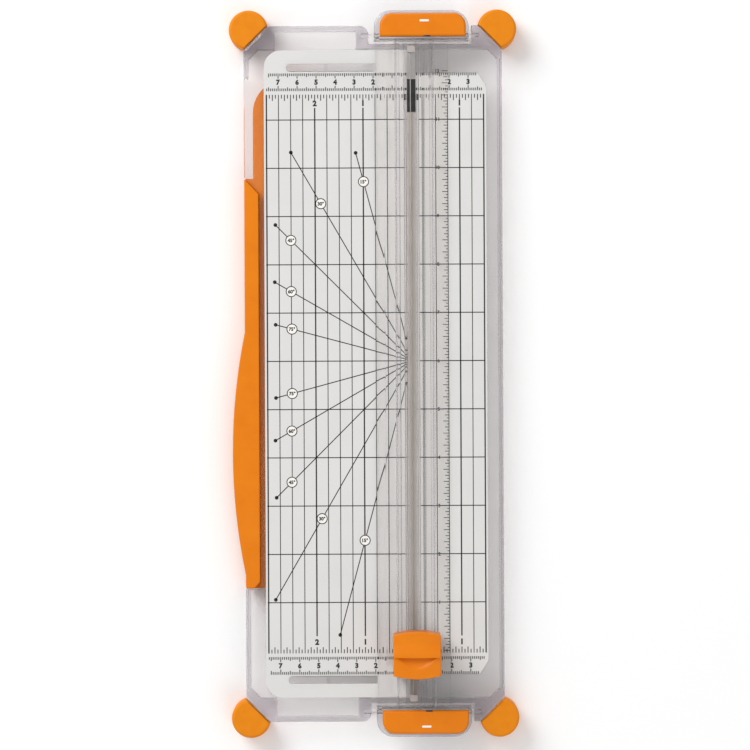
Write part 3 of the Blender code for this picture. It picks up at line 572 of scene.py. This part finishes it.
def grooved_bar(node, name, finish):
    """Copy a packed bar, and press a V-shaped groove into its top along the cut line."""
    bm = merged(node)
    blade_low, blade_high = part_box("rotary_blade")
    groove_x, top = (blade_low.x + blade_high.x) / 2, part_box(node)[1].z
    for x in (groove_x - GROOVE_HALF_WIDTH, groove_x, groove_x + GROOVE_HALF_WIDTH):
        bmesh.ops.bisect_plane(bm, geom=bm.verts[:] + bm.edges[:] + bm.faces[:], plane_co=(x, 0, 0),
                               plane_no=(1, 0, 0))
    for v in bm.verts:
        if abs(v.co.x - groove_x) < NEAR and abs(v.co.z - top) < NEAR:
            v.co.z -= GROOVE_DEPTH
    return put(bm, name, "base", finish, [node])


grooved_bar("cutting_strip", "grooved_cutting_strip", strip_plastic)
grooved_bar("sight_insert", "grooved_sight_insert", black_acetal_and_notch_shade)

# %% [markdown]
# ## Corner grips
# Each grip is a soft moulding with the plan of a disc, cut straight where it meets the tray's chamfer.
# A turned disc with generous round rims is sliced by one plane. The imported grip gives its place, and
# the tray's chamfer gives the plane.
# %% Corner grips
GRIP_RADIUS, GRIP_RIM = 10.3 * MM, 1.6 * MM
CHAMFER = 12.5 * MM  # of the tray's corners
GRIP_GAP = 0.3 * MM
CUT_EDGE_RADIUS = 0.35 * MM


def make_grip(name, sx, sy):
    """A grip for the corner whose x has the sign sx and whose y has the sign sy."""
    low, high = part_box(f"corner_grip_{name}")
    centre = Vector(((high.x - GRIP_RADIUS) if sx > 0 else (low.x + GRIP_RADIUS),
                     (high.y - GRIP_RADIUS) if sy > 0 else (low.y + GRIP_RADIUS)))
    bm = bmesh.new()
    bmesh.ops.create_cone(bm, cap_ends=True, segments=112, radius1=GRIP_RADIUS, radius2=GRIP_RADIUS,
                          depth=high.z, matrix=Matrix.Translation((*centre, high.z / 2)))
    round_edges(bm, GRIP_RIM, 4)
    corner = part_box("base_tray")[1]
    out = Vector((sx, sy, 0)).normalized()
    face = Vector((sx * (corner.x - CHAMFER / 2), sy * (corner.y - CHAMFER / 2), 0)) + out * GRIP_GAP
    cut = bmesh.ops.bisect_plane(bm, geom=bm.verts[:] + bm.edges[:] + bm.faces[:], plane_co=face,
                                 plane_no=out, clear_inner=True)
    bmesh.ops.contextual_create(bm, geom=[g for g in cut["geom_cut"] if isinstance(g, bmesh.types.BMEdge)])
    bmesh.ops.recalc_face_normals(bm, faces=bm.faces)
    bm.faces.ensure_lookup_table()
    flat = max(bm.faces, key=lambda f: -f.normal.dot(out) * f.calc_area())
    bmesh.ops.bevel(bm, geom=list(flat.edges), offset=CUT_EDGE_RADIUS, segments=2, profile=0.5,
                    affect="EDGES", material=-1)
    put(bm, f"soft_grip_{name}", "base", orange_elastomer, [f"corner_grip_{name}"])


for name, sx, sy in (("front_left", -1, -1), ("front_right", 1, -1), ("rear_left", -1, 1),
                     ("rear_right", 1, 1)):
    make_grip(name, sx, sy)

# %% [markdown]
# ## The swing-out arm
# The arm is one ABS moulding: a flat measuring plate that hides under the deck, and a handle along the
# tray's left edge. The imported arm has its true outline, so a copy with rounded edges is enough.
# %% The swing-out arm
finish_packed("swing_arm", "arm", orange_abs, 0.25 * MM)
finish_packed("arm_pivot_washer", "base", plated_steel)
finish_packed("arm_pivot_screw", "base", plated_steel)

# %% [markdown]
# ## The scale on the arm
# Swung out, the arm carries the deck's inches on to the left, so its ticks count from the cut line too.
# It is easiest to draw the scale as it reads then, along the edge that faces the user, and to turn the
# whole of it home about the arm's pivot. Folded in, it hides under the deck.
# %% The scale on the arm
ARM_PLATE_TOP = 9.8 * MM
ARM_MARGIN = 0.8 * MM  # from the plate's edge to its ticks
ARM_TICKS = ((16, 5.0 * MM), (8, 3.8 * MM), (4, 2.9 * MM), (1, 1.8 * MM))  # every so many sixteenths
FIRST_SIXTEENTH, LAST_SIXTEENTH = 56, 196  # 3 1/2 to 12 1/4 inches


def make_arm_scale():
    pivot = Vector(next(j for j in frame["joints"] if j["name"] == "arm_swing")["pos_m"])
    front = pivot.y - (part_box("swing_arm")[1].x - pivot.x) + ARM_MARGIN
    bm = bmesh.new()
    for k in range(FIRST_SIXTEENTH, LAST_SIXTEENTH + 1):
        length = next(tick for step, tick in ARM_TICKS if k % step == 0)
        x = cut_x - k * INCH / 16
        ink_bar(bm, (x, front), (x, front + length), TICK, ARM_PLATE_TOP)
    for inches in range(math.ceil(FIRST_SIXTEENTH / 16), LAST_SIXTEENTH // 16 + 1):
        ink_text(bm, str(inches), (cut_x - inches * INCH, front + 8.2 * MM), 3.6 * MM, ARM_PLATE_TOP)
    bmesh.ops.rotate(bm, verts=bm.verts, cent=pivot, matrix=Matrix.Rotation(math.radians(90), 3, "Z"))
    put(bm, "arm_scale_ink", "arm", black_ink)


make_arm_scale()

# %% [markdown]
# ## The rail
# An extruded-looking clear moulding with ribs for the carriage to run on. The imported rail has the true
# section, so a merged copy is used, with every long edge rounded, because those thin bright lines are
# what the eye reads as clear plastic. Its ends carry the hinge pins, and a wire marks the cut.
# %% The rail
finish_packed("cut_rail", "rail", clear_polystyrene, 0.42 * MM, 3, 30)
for end in ("rear", "front"):
    finish_packed(f"rail_end_{end}", "rail", clear_polystyrene, smooth_under=FLAT_FACETS)
    finish_packed(f"wire_anchor_{end}", "rail", strip_plastic, 0.12 * MM)
finish_packed("hinge_pin_rear", "rail", clear_polystyrene)
finish_packed("hinge_pin_front", "front_pin", clear_polystyrene)
finish_packed("cut_line_wire", "rail", drawn_wire)

# %% [markdown]
# ## The ruler on the rail
# The rail's right edge slopes down to the paper, and its ruler is printed on the slope in sixteenths of
# an inch. The ticks are bars again, tilted to lie on the slope. The numerals stand further in, where
# the rail slopes less.
# %% The ruler on the rail
SLOPE_TOP, SLOPE_LOW, SLOPE_RUN = 15.6 * MM, 15.2 * MM, 3.4 * MM  # the edge that carries the ticks
INNER_RISE, INNER_RUN = 0.3 * MM, 5.1 * MM  # the gentler slope beyond it
RAIL_TICKS = ((4, 3.2 * MM), (2, 2.3 * MM), (1, 1.3 * MM))  # every so many sixteenths


def make_rail_ruler():
    bm = bmesh.new()
    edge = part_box("cut_rail")[1].x
    tilt, inner_tilt = math.atan2(SLOPE_TOP - SLOPE_LOW, SLOPE_RUN), math.atan2(INNER_RISE, INNER_RUN)
    for k in range(12 * 16 + 1):
        length = next(tick for step, tick in RAIL_TICKS if k % step == 0)
        y = ZERO_Y + k * INCH / 16
        middle_x = edge - 0.15 * MM - length / 2
        z = SLOPE_LOW + (edge - middle_x) * math.tan(tilt)
        size = Matrix.Diagonal((length, 0.36 * MM, INK_DEPTH, 1))
        bmesh.ops.create_cube(bm, size=1, matrix=Matrix.Translation((middle_x, y, z))
                              @ Matrix.Rotation(tilt, 4, "Y") @ size)
    for k in range(13):
        x, y = edge - 5.6 * MM, ZERO_Y + k * INCH
        z = SLOPE_TOP + (edge - SLOPE_RUN - x) * math.tan(inner_tilt) - 2 * INK_SINK
        ink_text(bm, str(k), (x, y), 1.9 * MM, z, 0.03, inner_tilt)
    return put(bm, "rail_ruler_ink", "rail", black_ink)


make_rail_ruler()

# %% [markdown]
# ## Lift pads
# An orange pad is let into the top of each rail end, to lift the rail by. Near its outer edge a small
# raised bar is coloured white as a painted highlight, and at its inner edge a black block stands in the
# latch slot as painted shade. Both are small blocks with rounded corners. The way is 1 at the rear end and
# -1 at the front end.
# %% Lift pads
HIGHLIGHT_BAR_SIZE, HIGHLIGHT_BAR_CORNER = (5.0 * MM, 1.1 * MM, 0.2 * MM), 0.55 * MM
HIGHLIGHT_BAR_FROM_EDGE, HIGHLIGHT_BAR_SINK = 4.0 * MM, 0.05 * MM
NOTCH_SHADE_SIZE, NOTCH_SHADE_CORNER = (3.4 * MM, 0.7 * MM, 1.6 * MM), 0.15 * MM
NOTCH_SHADE_OFFSET = Vector((1.4 * MM, 0.25 * MM, -1.0 * MM))  # from the highlight bar along, the pad's edge, its top
HIGHLIGHT_BAR_ALONG = {"rear": 23.5 * MM, "front": 23.1 * MM}  # from the pad's left side


# A raised bar whose white colour is a painted highlight: the light that its top catches.
def make_pad_mark(end, way, x, low, high):
    bm = bmesh.new()
    y = (high.y if way > 0 else low.y) - way * HIGHLIGHT_BAR_FROM_EDGE
    bmesh.ops.create_cube(bm, size=1, matrix=Matrix.Translation((x, y, high.z - HIGHLIGHT_BAR_SINK))
                          @ Matrix.Diagonal((*HIGHLIGHT_BAR_SIZE, 1)))
    upright = [e for e in bm.edges if abs(e.verts[0].co.z - e.verts[1].co.z) > HIGHLIGHT_BAR_SIZE[2] / 2]
    bmesh.ops.bevel(bm, geom=upright, offset=HIGHLIGHT_BAR_CORNER, segments=5, profile=0.5, affect="EDGES",
                    material=-1)
    put(bm, f"pad_painted_highlight_{end}", "rail", white_ink_and_highlight)


# A black block in the latch slot: painted shade, standing for the dark inside the slot.
def make_pad_latch(end, way, x, low, high):
    bm = bmesh.new()
    y = (low.y if way > 0 else high.y) + way * NOTCH_SHADE_OFFSET.y
    place = Matrix.Translation((x + NOTCH_SHADE_OFFSET.x, y, high.z + NOTCH_SHADE_OFFSET.z))
    bmesh.ops.create_cube(bm, size=1, matrix=place @ Matrix.Diagonal((*NOTCH_SHADE_SIZE, 1)))
    round_edges(bm, NOTCH_SHADE_CORNER, 2)
    put(bm, f"pad_notch_shade_{end}", "rail", black_acetal_and_notch_shade)


for end, way in (("rear", 1), ("front", -1)):
    finish_packed(f"lift_pad_{end}", "rail", orange_abs)
    low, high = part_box(f"lift_pad_{end}")
    make_pad_mark(end, way, low.x + HIGHLIGHT_BAR_ALONG[end], low, high)
    make_pad_latch(end, way, low.x + HIGHLIGHT_BAR_ALONG[end], low, high)

# %% [markdown]
# ## The form of the thumb cap
# The cap is a small hood with bowed front and rear sides. Its top rises to a ridge across the middle,
# and a dished scoop in front of the ridge gives the thumb something to push. Boxes and cuts would give
# it a hard look, so the top is a grid whose points are raised and lowered by a formula.
# %% The form of the thumb cap
CAP_COLUMNS, CAP_ROWS_PER_HALF = 33, 20
FACE_HALF_DEPTH = 0.1 * MM  # the ridge's steep face lies between two close rows
CROWN_DROP, CROWN_REACH = 0.6 * MM, 12.35 * MM  # the top falls away to both sides
DISH_HALF_WIDTH, DISH_REACH, DISH_DEPTH = 10.0 * MM, 4.8 * MM, 2.0 * MM
FRONT_SLOPE = 0.05
RIDGE_HEIGHT, CREST_END, RIDGE_FOOT = 1.2 * MM, 1.6 * MM, 6.4 * MM
CREST_ROOM = 0.1 * MM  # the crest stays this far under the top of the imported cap


def cap_rows(low, face, high):
    """The grid's rows from front to rear, with two close rows for the steep face of the ridge."""
    last = CAP_ROWS_PER_HALF - 1
    front, rear = face - FACE_HALF_DEPTH, face + FACE_HALF_DEPTH
    return ([low + (front - low) * i / last for i in range(CAP_ROWS_PER_HALF)]
            + [rear + (high - rear) * i / last for i in range(CAP_ROWS_PER_HALF)])


def cap_height(x, y, base, face):
    """Height over the cap: x counts from its middle, and face is where the ridge's steep side is."""
    crown = -CROWN_DROP * (x / CROWN_REACH) ** 2
    if y < face:
        inside = max(0.0, 1 - (x / DISH_HALF_WIDTH) ** 2)
        reach = DISH_REACH * inside
        dish = max(0.0, 1 - (face - y) / reach) if reach > 0 else 0.0
        return base + crown - FRONT_SLOPE * (face - y) - DISH_DEPTH * inside ** 0.5 * dish ** 0.5
    fall = 1 - min(1.0, max(0.0, (y - face - CREST_END) / (RIDGE_FOOT - CREST_END)))
    return base + crown + RIDGE_HEIGHT * fall


print("the cap's dish is", round(DISH_DEPTH / MM, 1), "mm deep")

# %% [markdown]
# ## The thumb cap
# The grid's rows are bent into arcs that grow towards both ends, so that the front and rear sides bow
# out. The border is pulled down for the sides, its edges are rounded, and a Solidify modifier gives the
# shell its wall, which it needs, because the shoe and the springs stand inside it.
# %% The thumb cap
CAP_BOW = 1.75 * MM  # how far the front and rear sides stand out in the middle
CAP_RIM, CAP_CORNER, CAP_WALL = 1.0 * MM, 0.9 * MM, 0.9 * MM


def make_thumb_cap():
    low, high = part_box("thumb_cap")
    middle = (low + high) / 2
    half = (high.x - low.x) / 2
    roof = high.z - RIDGE_HEIGHT - CREST_ROOM
    face = middle.y - 1.0 * MM
    rows = cap_rows(low.y + CAP_BOW, face, high.y - CAP_BOW)
    bend = (half ** 2 + CAP_BOW ** 2) / (2 * CAP_BOW)  # the radius of the bowed sides
    bm = bmesh.new()
    bmesh.ops.create_grid(bm, x_segments=CAP_COLUMNS - 1, y_segments=len(rows) - 1, size=half)
    for v in bm.verts:
        x, y = v.co.x, rows[round((v.co.y / half + 1) / 2 * (len(rows) - 1))]
        bulge = math.sqrt(bend ** 2 - x ** 2) - bend + CAP_BOW
        share = (y - middle.y) / (high.y - CAP_BOW - middle.y)
        v.co = (middle.x + x, y + bulge * share, cap_height(x, y, roof, face))
    rim = [e for e in bm.edges if e.is_boundary]
    skirt = bmesh.ops.extrude_edge_only(bm, edges=rim)["geom"]
    for v in [g for g in skirt if isinstance(g, bmesh.types.BMVert)]:
        v.co.z = low.z
    bmesh.ops.recalc_face_normals(bm, faces=bm.faces)
    bmesh.ops.bevel(bm, geom=[e for e in rim if e.is_valid], offset=CAP_RIM, segments=4, profile=0.5,
                    affect="EDGES", clamp_overlap=True, material=-1)
    corners = [e for e in bm.edges if len(e.link_faces) == 2 and e.calc_face_angle() > math.radians(60)
               and abs(e.verts[0].co.z - e.verts[1].co.z) > 5 * MM]
    bmesh.ops.bevel(bm, geom=corners, offset=CAP_CORNER, segments=4, profile=0.5, affect="EDGES",
                    clamp_overlap=True, material=-1)
    cap = put(bm, "thumb_cap_shell", "blade_head", orange_abs, ["thumb_cap"])
    wall = cap.modifiers.new("wall", "SOLIDIFY")
    wall.thickness, wall.offset = CAP_WALL, -1
    return cap


make_thumb_cap()
finish_packed("carriage_shoe", "carriage", orange_abs, 0.2 * MM)

# %% [markdown]
# ## The round blade
# Turning is what a lathe and a grinder do, so the blade's half section is spun round its axle, in steps
# fine enough to look round close up. Its edge is ground from both sides to a sharp rim.
# %% The round blade
BLADE_BORE, GROUND_BAND = 2.3 * MM, 1.2 * MM  # the hole's radius, and the width of the ground edge


def make_blade():
    low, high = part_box("rotary_blade")
    centre = (low + high) / 2
    radius, half = (high.z - low.z) / 2, (high.x - low.x) / 2
    section = ((BLADE_BORE, -half), (radius - GROUND_BAND, -half), (radius, 0.0),
               (radius - GROUND_BAND, half), (BLADE_BORE, half))
    bm = bmesh.new()
    ring = [bm.verts.new((centre.x + x, centre.y, centre.z + r)) for r, x in section]
    edges = [bm.edges.new((ring[i], ring[(i + 1) % len(ring)])) for i in range(len(ring))]
    bmesh.ops.spin(bm, geom=ring + edges, cent=centre, axis=(1, 0, 0), angle=2 * math.pi, steps=128,
                   use_merge=True)
    bmesh.ops.remove_doubles(bm, verts=bm.verts, dist=0.001 * MM)
    bmesh.ops.recalc_face_normals(bm, faces=bm.faces)
    return put(bm, "ground_blade", "blade", blade_steel, ["rotary_blade"], smooth_under=5)


make_blade()

# %% [markdown]
# ## What carries the blade
# The blade sits on a black hub, which turns on a steel axle in a black frame. The frame's top is
# lowered a little, because the cap's scoop comes down just over it.
# %% What carries the blade
HOLDER_LOWERED = 0.6 * MM


def make_low_holder():
    bm = merged("blade_holder")
    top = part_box("blade_holder")[1].z
    for v in bm.verts:
        if v.co.z > top - NEAR:
            v.co.z -= HOLDER_LOWERED
    return put(bm, "low_blade_holder", "blade_head", black_acetal_and_notch_shade, ["blade_holder"])


finish_packed("blade_hub", "blade", black_acetal_and_notch_shade)
finish_packed("blade_axle", "blade_head", plated_steel, 0.15 * MM)
make_low_holder()

# %% [markdown]
# ## The press springs
# Two coils lift the cap again when the thumb lets go. A helix as a curve with a round bevel is the usual
# way to draw a spring. It is made a mesh of its own.
# %% The press springs
SPRING_WIRE = 0.25 * MM  # its radius
SPRING_TURNS, POINTS_PER_TURN = 5.5, 28


def make_press_spring(side):
    low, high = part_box(f"press_spring_{side}")
    centre = (low + high) / 2
    radius = (high.x - low.x) / 2 - SPRING_WIRE
    count = round(SPRING_TURNS * POINTS_PER_TURN) + 1
    curve = bpy.data.curves.new("coil", "CURVE")
    curve.dimensions = "3D"
    curve.bevel_depth, curve.bevel_resolution, curve.use_fill_caps = SPRING_WIRE, 2, True
    spline = curve.splines.new("POLY")
    spline.points.add(count - 1)
    for i, point in enumerate(spline.points):
        turn = 2 * math.pi * i / POINTS_PER_TURN
        height = low.z + SPRING_WIRE + (high.z - low.z - 2 * SPRING_WIRE) * i / (count - 1)
        point.co = (centre.x + radius * math.cos(turn), centre.y + radius * math.sin(turn), height, 1)
    holder = bpy.data.objects.new("coil", curve)
    bpy.context.scene.collection.objects.link(holder)
    graph = bpy.context.evaluated_depsgraph_get()
    bm = bmesh.new()
    bm.from_mesh(bpy.data.meshes.new_from_object(holder.evaluated_get(graph)))
    bpy.data.objects.remove(holder)
    bmesh.ops.remove_doubles(bm, verts=bm.verts, dist=0.001 * MM)
    bmesh.ops.recalc_face_normals(bm, faces=bm.faces)
    spring = put(bm, f"press_coil_{side}", "carriage", plated_steel, [f"press_spring_{side}"])
    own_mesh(spring)


for side in ("left", "right"):
    make_press_spring(side)

# %% [markdown]
# ## The floor and the light
# A white table and a soft, nearly even light suit a product that is half clear plastic: the plastic
# shows by what it bends, so it needs a bright surround. One large soft lamp at the rear left gives the
# orange pieces their shape, and a weak one at the front right keeps their far sides from going dull.
# %% The floor and the light
def make_floor():
    bm = bmesh.new()
    bmesh.ops.create_grid(bm, x_segments=1, y_segments=1, size=6.0)
    mesh = bpy.data.meshes.new("floor")
    bm.to_mesh(mesh)
    bm.free()
    finish, _ = new_finish("white_table_top", Base_Color=linear("#FDFDFD"), Roughness=0.6)
    mesh.materials.append(finish)
    floor = bpy.data.objects.new("floor", mesh)
    bpy.context.scene.collection.objects.link(floor)


def make_lamp(name, place, size, power):
    """A round white lamp that points at the trimmer."""
    light = bpy.data.lights.new(name, "AREA")
    light.shape, light.size, light.energy = "DISK", size, power
    lamp = bpy.data.objects.new(name, light)
    lamp.location = place
    lamp.rotation_mode = "QUATERNION"
    lamp.rotation_quaternion = Vector(place).to_track_quat("Z", "Y")
    bpy.context.scene.collection.objects.link(lamp)


def make_surround(strength):
    world = bpy.data.worlds.new("studio")
    world.use_nodes = True
    background = world.node_tree.nodes["Background"]
    background.inputs["Color"].default_value = linear("#FFFFFF")
    background.inputs["Strength"].default_value = strength
    bpy.context.scene.world = world


make_floor()
make_lamp("key_lamp", (-1.25, 1.35, 1.3), 1.5, 34)
make_lamp("fill_lamp", (0.9, -1.5, 1.6), 1.6, 9)
make_surround(0.62)
bpy.context.scene.view_settings.view_transform = "Standard"
print("floor, two lamps and an even white surround")

# %% [markdown]
# ## The camera
# The trimmer is seen from straight above through a long lens, so it shows almost no perspective. The
# whole length fills the frame with a narrow margin.
# %% The camera
FRAME_WIDTH = 394.7 * MM  # what the frame takes in from side to side, at the height of the deck
LENS, SENSOR = 150, 36

camera_data = bpy.data.cameras.new("camera")
camera_data.lens, camera_data.sensor_width = LENS, SENSOR
camera = bpy.data.objects.new("camera", camera_data)
camera.location = (0.5 * MM, -0.7 * MM, deck_top + FRAME_WIDTH * LENS / SENSOR)
camera.rotation_euler = (0, 0, math.radians(-0.27))
bpy.context.scene.collection.objects.link(camera)
bpy.context.scene.camera = camera
print("camera", round(camera.location.z, 2), "m above the table")
